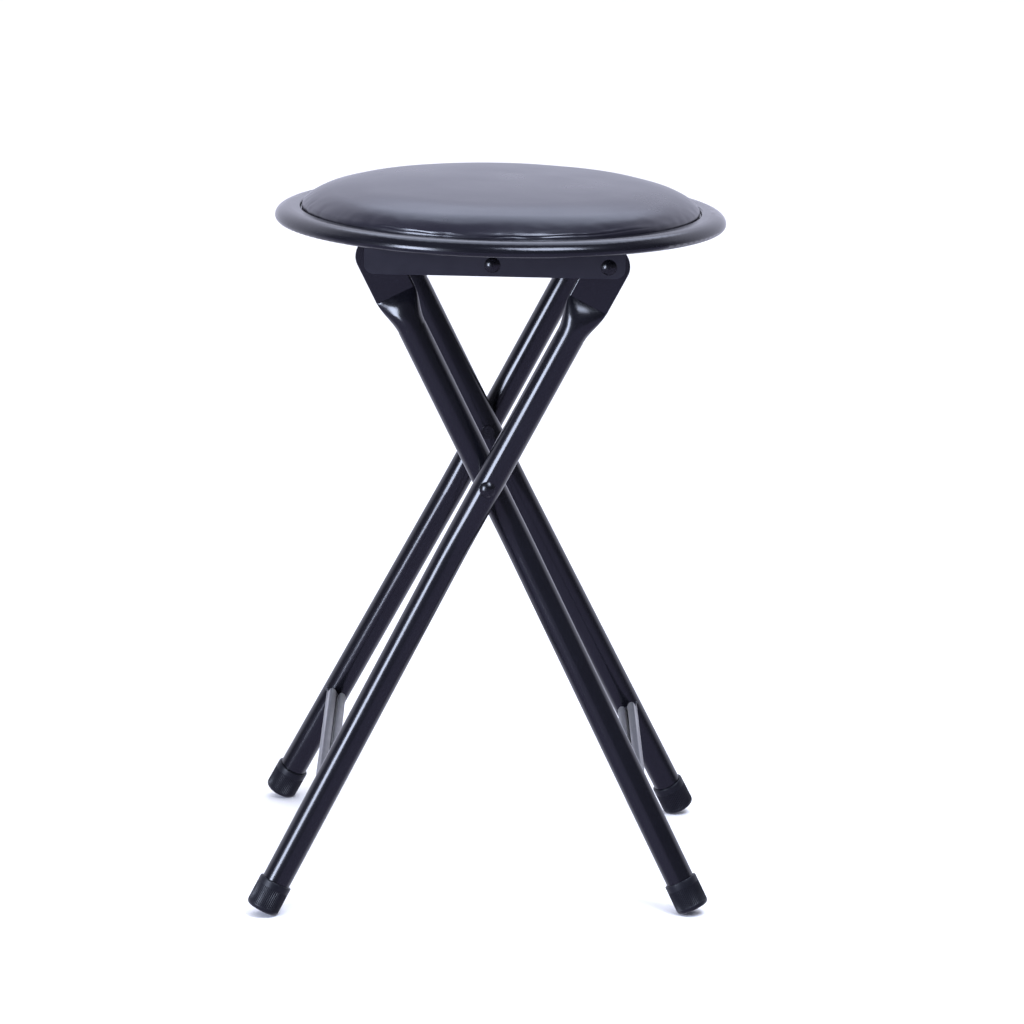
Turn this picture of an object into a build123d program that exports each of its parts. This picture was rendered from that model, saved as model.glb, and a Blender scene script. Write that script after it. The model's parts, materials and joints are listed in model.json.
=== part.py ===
from build123d import *
from math import acos, asin, cos, degrees, pi, radians, sin, tan
import os

# Padded folding stool: a round cushion in a rolled-rim steel pan on two crossed leg frames.
# Millimetres. +Z is up, the floor is z = 0, and the legs cross above the origin.
# +X is the side of the seat's own hinge, -Y is the front.

# Seat pan
seat_diameter = 300.0
rim_width = 16.8
rim_lip_rise = 6.6
rim_edge_radius = 3.1
rim_crest_width = 6.5
rim_hem_width = 4.0
recess_depth = 1.9
pan_sheet = 1.0
pan_bend_share = 0.4
seat_offset = 5.3

# Cushion
pad_gap = 0.8
crown_radius = 900.0
shoulder_radius = 27.0
shoulder_angle = 50.0
pad_edge_radius = 6.0
pad_edge_rise = 2.1
cover_thickness = 1.0
cover_hem_width = 26.0
board_thickness = 8.0
board_margin = 10.4
staple_count = 16
staple_width = 9.0
staple_wire = 0.7
staple_leg = 5.0
staple_inset = 10.0
soft_clearance = 0.3

# Leg tubes
tube_diameter = 19.0
tube_wall = 1.2
leg_lean = 27.1
pivot_half_span = 75.0
pivot_height = 428.0
outer_leg_span = 212.0
leg_gap = 2.5
flat_thickness = 3.0
flat_length = 28.0
flare_length = 24.0
flare_step = 0.15
bend_drop = 45.0
bend_radius = 150.0
leg_splay = 8.2

# Foot caps
cap_diameter = 22.0
cap_length = 21.0
cap_floor = 3.0
cap_edge_radius = 3.0
cap_lip_radius = 0.7
foot_land = 0.6

# Crossbars
crossbar_height = 82.0
crossbar_width = 13.5
crossbar_depth = 4.8
crossbar_rib = 3.6
crossbar_slope = 0.7
crossbar_sheet = 1.2

# Seat brackets
bracket_sheet = 1.5
bracket_bend = 0.8
bracket_drop = 7.5
bracket_left = 7.6
bracket_right = 10.7
bracket_corner = 6.5
bracket_web = 30.0
seat_rest_gap = 2.5

# Links
link_thickness = 2.5
link_width = 16.0

# Rivets, washers and screws
rivet_diameter = 6.0
rivet_head = 10.4
rivet_dome = 2.6
rivet_tail = 9.2
rivet_tail_height = 1.8
washer_diameter = 15.0
washer_thickness = 0.8
spacer_diameter = 10.0
running_clearance = 0.05
screw_diameter = 4.0
screw_head = 8.0
screw_head_height = 2.2
screw_bite = 6.0
screw_spacing = 80.0
screw_inset = 13.0

# Worked out from the above: the leg frames
lean = radians(leg_lean)
bend = radians(leg_splay)
tube_radius = tube_diameter / 2
flat_half = flat_thickness / 2
pressed_diameter = tube_diameter - 2 * flare_step
flat_width = flat_thickness + pi * (pressed_diameter - flat_thickness) / 2
pivot_reach = pivot_half_span / sin(lean)
crossing_height = pivot_height - pivot_reach * cos(lean)
outer_plane = outer_leg_span / 2
inner_plane = outer_plane - tube_diameter - leg_gap
rivet_radius = rivet_diameter / 2
rivet_hole = rivet_radius + running_clearance

# Heights of the seat's layers
web_bottom = pivot_height + flat_width / 2 + seat_rest_gap
pan_bottom = web_bottom + bracket_sheet
pan_top = pan_bottom + pan_sheet
board_bottom = pan_top + cover_thickness
board_top = board_bottom + board_thickness
rim_crest = pan_top + recess_depth
rim_middle = rim_crest - rim_lip_rise
pan_bend = (recess_depth - pan_sheet) * pan_bend_share

# Radii of the seat's pieces
seat_radius = seat_diameter / 2
recess_radius = seat_radius - rim_width
pad_radius = recess_radius - pad_gap
board_radius = pad_radius - board_margin

# Outward places of the layers at the pivots
outer_flat_face = outer_plane + flat_half + running_clearance
flange_inner = outer_flat_face + washer_thickness
flange_outer = flange_inner + bracket_sheet
inner_flat_face = inner_plane + flat_half + running_clearance
link_inner = inner_flat_face + washer_thickness
link_outer = link_inner + link_thickness

# The lower legs lean two ways, and each foot cap stands on the low side of its rounded edge
foot_tilt = acos(cos(lean) * cos(bend))
foot_ring = cap_diameter / 2 - cap_edge_radius
foot_drop = foot_ring * sin(foot_tilt) + cap_edge_radius * (1 - cos(foot_tilt))
foot_end = (crossing_height - foot_drop + foot_land) / cos(lean)

FRONT, REAR = -1, 1
OUTER, INNER = 1, -1


def leg_frame(side, lean_side, plane):
    """Leg coordinates: x runs down the leg from the crossing, y points out of the stool."""
    down = Vector(-lean_side * sin(lean), 0, -cos(lean))
    outward = Vector(0, side, 0)
    return Plane((0, side * plane, crossing_height), x_dir=down, z_dir=down.cross(outward))


def pin_frame(side, x, z):
    """Coordinates of a cross pin: z is the distance out from the middle of the stool."""
    return Plane((x, 0, z), x_dir=(1, 0, 0), z_dir=(0, side, 0))


def bar(radius, start, end):
    """Round bar along z from start to end."""
    return Pos(0, 0, start) * extrude(Circle(radius), end - start)


def ring(radius, bore, start, end):
    """Round sleeve along z from start to end."""
    return Pos(0, 0, start) * extrude(Circle(radius) - Circle(bore), end - start)


def along_lower_leg(down_leg):
    """Plane square to the lower leg, at a distance down the upper leg's line, facing up the leg."""
    out = (down_leg - bend_drop) * tan(bend)
    return Plane((down_leg, out, 0), x_dir=(0, 0, 1), z_dir=(-cos(bend), -sin(bend), 0))


def square_to_leg(x):
    """Plane square to the upper leg, at a distance down it, with its x across the flat."""
    return Plane((x, 0, 0), x_dir=(0, 0, 1), z_dir=(1, 0, 0))


def leg():
    """One leg: bent tube, flare, pressed flat top, pivot hole and crossing hole."""
    top = -pivot_reach
    tube_start = top + flat_length + flare_length
    end = along_lower_leg(foot_end).from_local_coords(Vector(0, 0, cap_floor))
    path = FilletPolyline((tube_start, 0), (bend_drop, 0), (end.X, end.Y), radius=bend_radius)
    start = Plane((tube_start, 0, 0), x_dir=(0, 1, 0), z_dir=(1, 0, 0))
    tube = sweep(start * (Circle(tube_radius) - Circle(tube_radius - tube_wall)), path=path)
    wide = flat_width - 2 * flare_step
    thin = flat_thickness - 2 * flare_step
    sections = []
    for step in (0.0, 0.12, 0.25, 0.4, 0.6, 0.8, 1.0):
        drawn_in = step * step * (3 - 2 * step)
        risen = 1 - (1 - step) ** 3
        width = wide + (pressed_diameter - wide) * drawn_in
        thickness = thin + (pressed_diameter - flare_step - thin) * risen
        place = square_to_leg(top + flat_length + flare_length * step)
        sections.append(place * Ellipse(width / 2, thickness / 2))
    flat = square_to_leg(top - flat_width / 2) * SlotOverall(flat_width, flat_thickness)
    plate = extrude(flat, flat_width / 2 + flat_length)
    outline = Pos(top, 0) * Circle(flat_width / 2)
    outline += Pos(top + flat_length / 2, 0) * Rectangle(flat_length, flat_width)
    plate &= Plane.XZ * extrude(outline, flat_thickness, both=True)
    hole = Plane.XZ * extrude(Circle(rivet_hole), tube_diameter, both=True)
    return tube + loft(sections) + plate - hole - Pos(top, 0, 0) * hole


def foot_cap():
    """Plastic cup over the end of a leg, in the leg's coordinates."""
    cup = bar(cap_diameter / 2, 0, cap_length)
    cup = fillet(cup.edges().sort_by(Axis.Z)[0], cap_edge_radius)
    cup = fillet(cup.edges().sort_by(Axis.Z)[-1], cap_lip_radius)
    cup -= bar(tube_radius + running_clearance, cap_floor, cap_length)
    return along_lower_leg(foot_end) * cup


def standing_cap(side, lean_side, plane):
    """Foot cap in its place, with the small flat that it stands on."""
    cap = leg_frame(side, lean_side, plane) * foot_cap()
    floor_size = 2 * (seat_diameter + crossing_height)
    return cap - Pos(0, 0, -cap_length / 2) * Box(floor_size, floor_size, cap_length)


def crossbar(lean_side, plane):
    """Pressed strip with two ribs, welded between the two legs of a frame."""
    edge = (crossbar_width - crossbar_sheet) / 2
    rib = crossbar_rib + 2 * crossbar_slope
    low = crossbar_sheet / 2
    high = crossbar_depth - crossbar_sheet / 2
    half_line = [
        (edge, low),
        (edge - crossbar_slope, high),
        (edge + crossbar_slope - rib, high),
        (edge - rib, low),
    ]
    line = Polyline([(-x, y) for x, y in half_line] + half_line[::-1])
    section = make_face(offset(line, amount=crossbar_sheet / 2, side=Side.BOTH).edges())
    drop = (crossing_height - crossbar_height) / cos(lean)
    reach = plane + (drop - bend_drop) * tan(bend)
    centre = leg_frame(REAR, lean_side, 0).from_local_coords(Vector(drop, 0, 0))
    up = Vector(lean_side * sin(lean), 0, cos(lean))
    square = Plane(centre, x_dir=up.cross(Vector(0, 1, 0)), z_dir=(0, 1, 0))
    strip = square * extrude(Pos(0, -crossbar_depth / 2) * section, reach, both=True)
    length = (foot_end - bend_drop) / cos(bend)
    tube = along_lower_leg(foot_end) * bar(tube_radius + running_clearance, 0, length)
    for side in (FRONT, REAR):
        strip -= leg_frame(side, lean_side, plane) * tube
    return strip


def dome(base_at):
    """Round rivet head along z, standing on a flat."""
    base = rivet_head / 2
    sphere = (base**2 + rivet_dome**2) / (2 * rivet_dome)
    half = asin(base / sphere) / 2
    middle = (sphere * sin(half), rivet_dome - sphere * (1 - cos(half)))
    outline = [
        Line((0, 0), (base, 0)),
        ThreePointArc((base, 0), middle, (0, rivet_dome)),
        Line((0, rivet_dome), (0, 0)),
    ]
    return Pos(0, 0, base_at) * revolve(Plane.XZ * make_face(outline), Axis.Z)


def rivet(tail, head):
    """Rivet along z: flat tail, shank and domed head."""
    flat = bar(rivet_tail / 2, tail - rivet_tail_height, tail)
    return flat + bar(rivet_radius, tail, head) + dome(head)


def crossing_rivet(side):
    """Rivet through both legs where they cross, its head drawn down round the outer tube."""
    base = rivet_head / 2
    face = outer_plane + tube_radius
    skirt = face - tube_radius + (tube_radius**2 - base**2) ** 0.5
    head = pin_frame(side, 0, crossing_height) * (bar(base, skirt, face) + dome(face))
    tube = Plane.YZ * extrude(Circle(tube_radius + running_clearance), tube_diameter, both=True)
    head -= leg_frame(side, OUTER, outer_plane) * tube
    tail = inner_plane - tube_radius - running_clearance
    shank = bar(rivet_radius, tail, face) + bar(rivet_tail / 2, tail - rivet_tail_height, tail)
    return head + pin_frame(side, 0, crossing_height) * shank


def link(side):
    """Flat bar from the bracket's middle rivet to the top of the inner leg."""
    outline = Pos(-pivot_half_span / 2, 0) * SlotCenterToCenter(pivot_half_span, link_width)
    holes = Circle(rivet_hole) + Pos(-pivot_half_span, 0) * Circle(rivet_hole)
    plate = Pos(0, 0, link_inner) * extrude(outline - holes, link_thickness)
    return pin_frame(side, 0, pivot_height) * plate


def at_outer_top(side, body):
    """Puts a pin along z at the pivot between the seat and an outer leg."""
    return pin_frame(side, pivot_half_span, pivot_height) * body


def at_bracket_middle(side, body):
    """Puts a pin along z at the pivot between the seat and a link."""
    return pin_frame(side, 0, pivot_height) * body


def at_inner_top(side, body):
    """Puts a pin along z at the pivot between a link and an inner leg."""
    return pin_frame(side, -pivot_half_span, pivot_height) * body


def screw_places():
    """Where the seat screws stand, in plan."""
    across = flange_inner - screw_inset
    return [(seat_offset + x * screw_spacing / 2, y * across) for x in (-1, 1) for y in (-1, 1)]


def screw_holes(start, end):
    """Clearance holes for the seat screws between two heights."""
    radius = screw_diameter / 2 + running_clearance
    return [Pos(x, y, 0) * bar(radius, start, end) for x, y in screw_places()]


def seat_screws():
    """Pan-head screws up through bracket and pan into the board."""
    head = bar(screw_head / 2, web_bottom - screw_head_height, web_bottom)
    shank = bar(screw_diameter / 2, web_bottom, board_bottom + screw_bite)
    return [Pos(x, y, 0) * (head + shank) for x, y in screw_places()]


def bracket(side):
    """Angle bracket: web under the pan, flange outside the outer leg's flat top."""
    low = pivot_height - bracket_drop
    left = -pivot_half_span - bracket_left
    right = pivot_half_span + bracket_right
    web_end = flange_outer - bracket_web
    section = Polyline(
        (flange_outer, low),
        (flange_outer, pan_bottom),
        (web_end, pan_bottom),
        (web_end, web_bottom),
        (flange_inner, web_bottom),
        (flange_inner, low),
        close=True,
    )
    face = make_face(section)
    outer_bend = face.vertices().sort_by_distance((flange_outer, pan_bottom))[0]
    face = fillet(outer_bend, bracket_bend + bracket_sheet)
    inner_bend = face.vertices().sort_by_distance((flange_inner, web_bottom))[0]
    face = fillet(inner_bend, bracket_bend)
    upright = Plane((left, 0, 0), x_dir=(0, 1, 0), z_dir=(1, 0, 0))
    angle = extrude(upright * face, right - left)
    angle = fillet(angle.edges().filter_by(Axis.Y).group_by(Axis.Z)[0], bracket_corner)
    if side == FRONT:
        angle = mirror(angle, Plane.XZ)
    hole = bar(rivet_hole, flange_inner, flange_outer)
    angle -= at_outer_top(side, hole)
    angle -= at_bracket_middle(side, hole)
    return angle - screw_holes(web_bottom, pan_bottom)


def on_seat_axis(body):
    """Moves a turned seat piece from the origin to the seat's axis."""
    return Pos(seat_offset, 0, 0) * body


def pan_face(inset, floor_bend, lip_bend):
    """Half section of the pan's upper face, moved into the sheet by an inset."""
    wall = recess_radius + inset
    crest = rim_crest - inset
    crest_end = recess_radius + rim_crest_width
    edge_centre = seat_radius - rim_edge_radius
    hem = rim_middle - rim_edge_radius + inset
    dish = FilletPolyline(
        (0, pan_top - inset),
        (wall, pan_top - inset),
        (wall, crest),
        (crest_end, crest),
        radius=[floor_bend, lip_bend],
    )
    crown_size = (seat_radius - crest_end - inset, crest - rim_middle)
    crown = EllipticalCenterArc((crest_end, rim_middle), *crown_size, start_angle=0, arc_size=90)
    edge = CenterArc((edge_centre, rim_middle), rim_edge_radius - inset, start_angle=-90, arc_size=90)
    turn = Line((edge_centre, hem), (edge_centre - rim_hem_width, hem))
    return [*dish.edges(), crown, edge, turn]


def seat_pan():
    """Pressed dish: floor, recess wall, rolled rim and turned-in hem, in one sheet."""
    upper = pan_face(0, pan_bend, pan_bend + pan_sheet)
    lower = pan_face(pan_sheet, pan_bend + pan_sheet, pan_bend)
    ends = [Line((0, pan_top), (0, pan_bottom)), Line(upper[-1] @ 1, lower[-1] @ 1)]
    dish = revolve(Plane.XZ * make_face(upper + lower + ends), Axis.Z)
    return on_seat_axis(dish) - screw_holes(pan_bottom, pan_top)


def cushion(inset, bottom):
    """Crowned solid inside the cushion's skin, moved in by an inset and flat below."""
    turn = radians(shoulder_angle)
    reach = pad_radius - pad_edge_radius * (1 - sin(turn)) - shoulder_radius * sin(turn)
    crown = asin(reach / (crown_radius - shoulder_radius))
    edge_x = pad_radius - pad_edge_radius
    edge_z = pan_top + pad_edge_rise
    shoulder_x = edge_x - (shoulder_radius - pad_edge_radius) * sin(turn)
    shoulder_z = edge_z - (shoulder_radius - pad_edge_radius) * cos(turn)
    crown_z = shoulder_z - (crown_radius - shoulder_radius) * cos(crown)
    tuck = degrees(asin((pad_edge_rise - inset) / (pad_edge_radius - inset)))
    top = CenterArc((0, crown_z), crown_radius - inset, 90 - degrees(crown), degrees(crown))
    shoulder = CenterArc(
        (shoulder_x, shoulder_z),
        shoulder_radius - inset,
        90 - shoulder_angle,
        shoulder_angle - degrees(crown),
    )
    edge = CenterArc((edge_x, edge_z), pad_edge_radius - inset, -tuck, 90 - shoulder_angle + tuck)
    low = edge @ 0
    sides = [Line(low, (0, low.Y)), Line((0, low.Y), top @ 1)]
    body = revolve(Plane.XZ * make_face([top, shoulder, edge] + sides), Axis.Z)
    return body - bar(seat_diameter, bottom - seat_diameter, bottom)


def seat_cover():
    """Vinyl skin over the foam, with a hem turned in under the board."""
    skin = cushion(0, pan_top) - cushion(cover_thickness, board_bottom)
    skin -= bar(board_radius - cover_hem_width, pan_top, board_bottom)
    return on_seat_axis(skin) - screw_holes(pan_top, board_bottom) - staples(running_clearance)


def foam_pad():
    """Foam over the board and round its edge, inside the cover."""
    foam = cushion(cover_thickness + soft_clearance, board_bottom)
    return on_seat_axis(foam - bar(board_radius + soft_clearance, board_bottom, board_top))


def seat_board():
    """Plywood disc under the foam, bored for the screws and the staples."""
    disc = on_seat_axis(bar(board_radius, board_bottom, board_top))
    return disc - screw_holes(board_bottom, board_bottom + screw_bite) - staples(running_clearance)


def staple(play):
    """One staple, its crown in the hem and its legs up in the board, grown by a play."""
    wire = staple_wire + 2 * play
    height = cover_thickness + staple_leg
    leg_at = (staple_width - staple_wire) / 2
    body = Pos(0, 0, staple_wire / 2) * Box(wire, staple_width + 2 * play, wire)
    for y in (-leg_at, leg_at):
        body += Pos(0, y, height / 2) * Box(wire, wire, height + 2 * play)
    return body


def staples(play):
    """The ring of staples that holds the cover's hem to the board."""
    start = Pos(board_radius - staple_inset, 0, pan_top)
    turns = [Rot(0, 0, 360 * k / staple_count) for k in range(staple_count)]
    return [on_seat_axis(turn * start * staple(play)) for turn in turns]


def both_sides(place, body):
    """The same pin at the front and at the rear."""
    return [place(side, body) for side in (FRONT, REAR)]


# The seat
pieces = {
    "seat_pan": seat_pan(),
    "seat_board": seat_board(),
    "foam_pad": foam_pad(),
    "seat_cover": seat_cover(),
    "cover_staples": staples(0),
    "seat_screws": seat_screws(),
    "front_bracket": bracket(FRONT),
    "rear_bracket": bracket(REAR),
}

# Pivots that ride on the seat
leg_tail = outer_plane - flat_half - running_clearance
link_tail = link_inner - running_clearance
leg_washer = ring(washer_diameter / 2, rivet_hole, outer_flat_face, flange_inner)
spacer = ring(spacer_diameter / 2, rivet_hole, link_outer + running_clearance, flange_inner)
pieces["seat_pivot_rivets"] = both_sides(at_outer_top, rivet(leg_tail, flange_outer))
pieces["seat_pivot_washers"] = both_sides(at_outer_top, leg_washer)
pieces["link_rivets"] = both_sides(at_bracket_middle, rivet(link_tail, flange_outer))
pieces["link_spacers"] = both_sides(at_bracket_middle, spacer)

# The links and their end pins, which meet the inner legs' pins face to face
end_pin = bar(rivet_radius, inner_flat_face, link_outer) + dome(link_outer)
end_washer = ring(washer_diameter / 2, rivet_hole, inner_flat_face, link_inner)
for name, side in (("front", FRONT), ("rear", REAR)):
    pieces[f"{name}_link"] = link(side)
    pieces[f"{name}_link_end_rivet"] = at_inner_top(side, end_pin)
    pieces[f"{name}_link_washer"] = at_inner_top(side, end_washer)

# The two leg frames
leg_body = leg()
for name, side in (("front", FRONT), ("rear", REAR)):
    pieces[f"outer_leg_{name}"] = leg_frame(side, OUTER, outer_plane) * leg_body
    pieces[f"inner_leg_{name}"] = leg_frame(side, INNER, inner_plane) * leg_body
    pieces[f"foot_cap_{name}_left"] = standing_cap(side, OUTER, outer_plane)
    pieces[f"foot_cap_{name}_right"] = standing_cap(side, INNER, inner_plane)
pieces["outer_crossbar"] = crossbar(OUTER, outer_plane)
pieces["inner_crossbar"] = crossbar(INNER, inner_plane)

# Pivots that ride on the leg frames
inner_face = inner_plane - flat_half
leg_pin = bar(rivet_tail / 2, inner_face - rivet_tail_height, inner_face)
leg_pin += bar(rivet_radius, inner_face, inner_plane + flat_half)
gap_start = inner_plane + tube_radius + running_clearance
gap_end = outer_plane - tube_radius - running_clearance
gap_washer = ring(washer_diameter / 2, rivet_hole, gap_start, gap_end)
pieces["inner_leg_rivets"] = both_sides(at_inner_top, leg_pin)
pieces["crossing_rivets"] = [crossing_rivet(FRONT), crossing_rivet(REAR)]
pieces["crossing_washers"] = [
    pin_frame(side, 0, crossing_height) * gap_washer for side in (FRONT, REAR)
]

os.makedirs("parts", exist_ok=True)
for name, body in pieces.items():
    solids = body if isinstance(body, list) else [body]
    export_step(Compound(children=[s for b in solids for s in b.solids()]), f"parts/{name}.step")
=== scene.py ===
import json
import math

import bmesh
import bpy
from mathutils import Matrix, Vector, kdtree, noise


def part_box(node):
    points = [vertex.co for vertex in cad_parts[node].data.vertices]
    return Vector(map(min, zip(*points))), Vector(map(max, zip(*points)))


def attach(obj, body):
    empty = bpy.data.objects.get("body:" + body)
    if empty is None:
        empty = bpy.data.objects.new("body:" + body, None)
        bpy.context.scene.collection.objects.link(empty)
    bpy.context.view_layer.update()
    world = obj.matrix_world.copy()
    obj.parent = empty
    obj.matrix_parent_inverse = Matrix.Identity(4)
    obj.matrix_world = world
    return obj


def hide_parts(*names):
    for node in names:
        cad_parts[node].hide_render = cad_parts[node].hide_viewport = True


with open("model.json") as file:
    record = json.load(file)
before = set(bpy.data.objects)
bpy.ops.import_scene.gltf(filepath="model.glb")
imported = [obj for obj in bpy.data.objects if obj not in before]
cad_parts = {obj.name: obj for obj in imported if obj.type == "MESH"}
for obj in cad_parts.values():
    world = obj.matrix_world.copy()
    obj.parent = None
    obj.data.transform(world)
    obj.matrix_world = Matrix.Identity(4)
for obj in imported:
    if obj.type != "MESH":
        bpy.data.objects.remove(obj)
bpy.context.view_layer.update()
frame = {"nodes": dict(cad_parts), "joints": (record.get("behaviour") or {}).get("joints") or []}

bl_info = {
    "name": "Padded folding stool",
    "version": (1, 0, 0),
    "blender": (4, 5, 0),
    "location": "View3D > Sidebar > Stool",
    "description": "Dresses the solids of a padded folding stool in vinyl, enamel and plastic",
    "category": "Object",
}

MM = 0.001
FRONT, REAR = -1, 1

# Points closer than this are one point
SAME_PLACE = 0.01 * MM

# Where the legs run, from the two hinges that the solids state
JOINTS = {joint["name"]: joint for joint in frame["joints"]}
SEAT_PIVOT = Vector(JOINTS["seat_fold"]["pos_m"])
LEG_CROSSING = Vector(JOINTS["leg_scissor"]["pos_m"])
LEG_LEAN = math.atan2(SEAT_PIVOT.x, SEAT_PIVOT.z - LEG_CROSSING.z)

# The bent tubes: their radius, how far down the leg from the crossing they splay out, and by how much
TUBE_RADIUS = 9.5 * MM
BEND_DROP = 45 * MM
LEG_SPLAY = math.radians(8.2)

# Each leg frame: its body, the way its legs lean, its distance from the middle and its foot caps
LEG_FRAMES = {
    "outer": ("outer_frame", 1, 106 * MM, ("foot_cap_front_left", "foot_cap_rear_left")),
    "inner": ("inner_frame", -1, 84.5 * MM, ("foot_cap_front_right", "foot_cap_rear_right")),
}

# The cushion: steps round it, where its flat back is divided, and the angle left open in the middle of
# the crown
CUSHION_SEGMENTS = 480
BACK_SHARES = (0.2, 0.4, 0.6, 0.8, 0.93)
CROWN_EYE = 0.002

# The cushion's filling: frames of the simulation, and how many of its points carry each point along
FILL_FRAMES = 20
CARRIERS = 48

# The band that is gathered: how far it goes in from the edge, and how far above the back it begins
GATHER_BAND = 30 * MM
GATHER_BACK = 0.6 * MM

# Gathers round the edge: how far they stray from even steps, the least and the most of their share of
# the full depth, of their width and of their reach, and how many widths away they have no effect
PUCKER_STRAY = 0.8
PUCKER_SHARES = (0.25, 1.0)
PUCKER_WIDTHS = (1.4 * MM, 3.6 * MM)
PUCKER_REACHES = (2.0 * MM, 6.5 * MM)
PUCKER_LIMIT = 3

# Shallow wrinkles at the edge: their width, how many times wider they are than tall, and their reach
WRINKLE_SIZE = 9 * MM
WRINKLE_FLATNESS = 2
WRINKLE_REACH = 9 * MM

# Long folds of the vinyl near the edge, four in front, one at each side and two at the back: the angles
# in degrees where they start and end, and their heights in millimetres above the cushion's back there
CREASES = [
    (math.radians(start), math.radians(end), start_height * MM, end_height * MM)
    for start, end, start_height, end_height in (
        (-128, -112, 4.6, 3.4),
        (-114, -97, 3.9, 2.7),
        (-96, -80, 3.0, 3.3),
        (-82, -42, 3.0, 4.8),
        (158, 172, 5.0, 6.4),
        (12, 30, 6.2, 4.8),
        (62, 84, 4.6, 5.4),
        (101, 126, 5.2, 4.4),
    )
]

# The run of a fold: the power that blunts its ends, its waver with the waver's pace along it and shift
# from fold to fold, and the welt above it as a share of its depth and a number of half widths up
FOLD_FADE = 0.7
FOLD_WAVER = 0.25 * MM
FOLD_WAVES = 11
FOLD_PHASE = 40
WELT_SHARE = 0.5
WELT_RISE = 2.2

# Foot caps: steps round the wall for each rib and how many of them are groove, the height in which a
# groove runs out, the inner ring of the sole and of the floor inside as a share of their radius, and
# the height of the edge that is cut off for the flat that a cap stands on
STEPS_PER_RIB = 4
GROOVE_STEPS = 2
GROOVE_RUNOUT = 0.5 * MM
INNER_RING = 0.4
FOOT_LAND = 0.6 * MM

# Pressed strip: rounding of its edges and of its ribs, how far a rib stands in from the strip's edge,
# how far a rib and its hollow go past the face they start from, and how far the ends go into the tubes
STRIP_ROUND = 0.4 * MM
RIB_ROUND = 0.5 * MM
RIB_INSET = 0.15 * MM
RIB_SINK = 0.2 * MM
HOLLOW_SINK = 0.1 * MM
NOTCH_BITE = 0.2 * MM

# Weld beads: lumps in a bead, the least and the most of their share of its radius, and its mesh size
BEAD_LUMPS = 7
BEAD_SHARES = (0.85, 1.15)
BEAD_VOXEL = 0.45 * MM

# Nearly all of a noise texture lies between these two values
NOISE_LOW, NOISE_HIGH = 0.3, 0.7

# Soft lights: the setting that holds their power, their place, their width and height in metres, and
# the point that they all face
SOFT_LIGHTS = {
    "left_strip": ("strip_power", (-1.80, -1.85, 0.62), (0.8, 1.7)),
    "right_softbox": ("softbox_power", (0.69, -1.06, 2.37), (1.0, 1.2)),
    "ceiling": ("ceiling_power", (0.10, 1.55, 2.30), (1.7, 1.5)),
}
LIGHT_AIM = Vector((0, 0, 0.25))

# Parts of the room that glow: the axis of the direction, and the values between which they fade in
ROOM_PARTS = {"behind": ("Y", 0.0, 0.5), "low": ("Z", 0.85, 0.55), "below": ("Z", 0.02, -0.12)}

# The camera's sensor, in millimetres
SENSOR_WIDTH = 36

ENAMELLED = (
    "seat_pan", "front_link", "rear_link",
    "outer_leg_front", "outer_leg_rear", "inner_leg_front", "inner_leg_rear",
)
POWDER_COATED = ("front_bracket", "rear_bracket")
BLACKENED = (
    "seat_pivot_rivets", "link_rivets", "link_spacers", "front_link_end_rivet", "rear_link_end_rivet",
    "crossing_rivets", "inner_leg_rivets", "seat_pivot_washers", "front_link_washer",
    "rear_link_washer", "crossing_washers",
)
ZINC_PLATED = ("seat_screws", "cover_staples")
PLYWOOD = ("seat_board",)


def millimetres(name, description, default):
    """A length setting, given in millimetres and kept in metres."""
    return bpy.props.FloatProperty(
        name=name, description=description, default=default * MM, unit="LENGTH", precision=5
    )


def degrees(name, description, default):
    """An angle setting, given in degrees and kept in radians."""
    return bpy.props.FloatProperty(
        name=name, description=description, default=math.radians(default), subtype="ANGLE"
    )


def watts(name, description, default):
    """A power setting for a light."""
    return bpy.props.FloatProperty(name=name, description=description, default=default, unit="POWER")


def amount(name, description, default):
    """A plain setting that can't be below zero."""
    return bpy.props.FloatProperty(name=name, description=description, default=default, min=0.0)


def colour(name, description, default):
    """A colour setting, as an sRGB hex value."""
    return bpy.props.StringProperty(name=name, description=description, default=default, maxlen=7)


class CushionSettings(bpy.types.PropertyGroup):
    """Shape of the vinyl cushion."""

    crown_radius: millimetres("Crown radius", "Radius of the cushion's domed top", 1100)
    haunch_radius: millimetres("Haunch radius", "Radius where the top begins to fall", 150)
    haunch_angle: degrees("Haunch angle", "Slope at which the haunch meets the shoulder", 14)
    shoulder_radius: millimetres("Shoulder radius", "Radius where the top turns down", 40)
    shoulder_angle: degrees("Shoulder angle", "Slope at which the shoulder meets the edge", 42)
    edge_radius: millimetres("Edge radius", "Radius of the rolled edge", 6)
    edge_rise: millimetres("Edge rise", "Height of the widest line above the pan", 2.1)
    slack: millimetres("Slack", "How much smaller the cushion is before it is filled", 0.5)
    voxel: millimetres("Voxel", "Mesh size for the simulation", 5)
    swell: millimetres("Swell", "Furthest that a point may move when the cushion is filled", 0.6)
    spread: millimetres("Spread", "Distance over which the foam evens out the cover's moves", 12)
    stiffness: amount("Stiffness", "How little the vinyl stretches", 60.0)
    pressure: amount("Pressure", "Air pressure that fills the cover", 4.0)
    pucker_count: bpy.props.IntProperty(
        name="Puckers", description="Gathers of the vinyl round the edge", default=84, min=0
    )
    pucker_depth: millimetres("Pucker depth", "Depth of the deepest gather", 0.2)
    wrinkle_depth: millimetres("Wrinkle depth", "Height of the shallow wrinkles at the edge", 0.22)
    crease_depth: millimetres("Crease depth", "Depth of the long folds near the edge", 0.36)
    crease_width: millimetres("Crease width", "Half width of those folds", 0.5)


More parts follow.
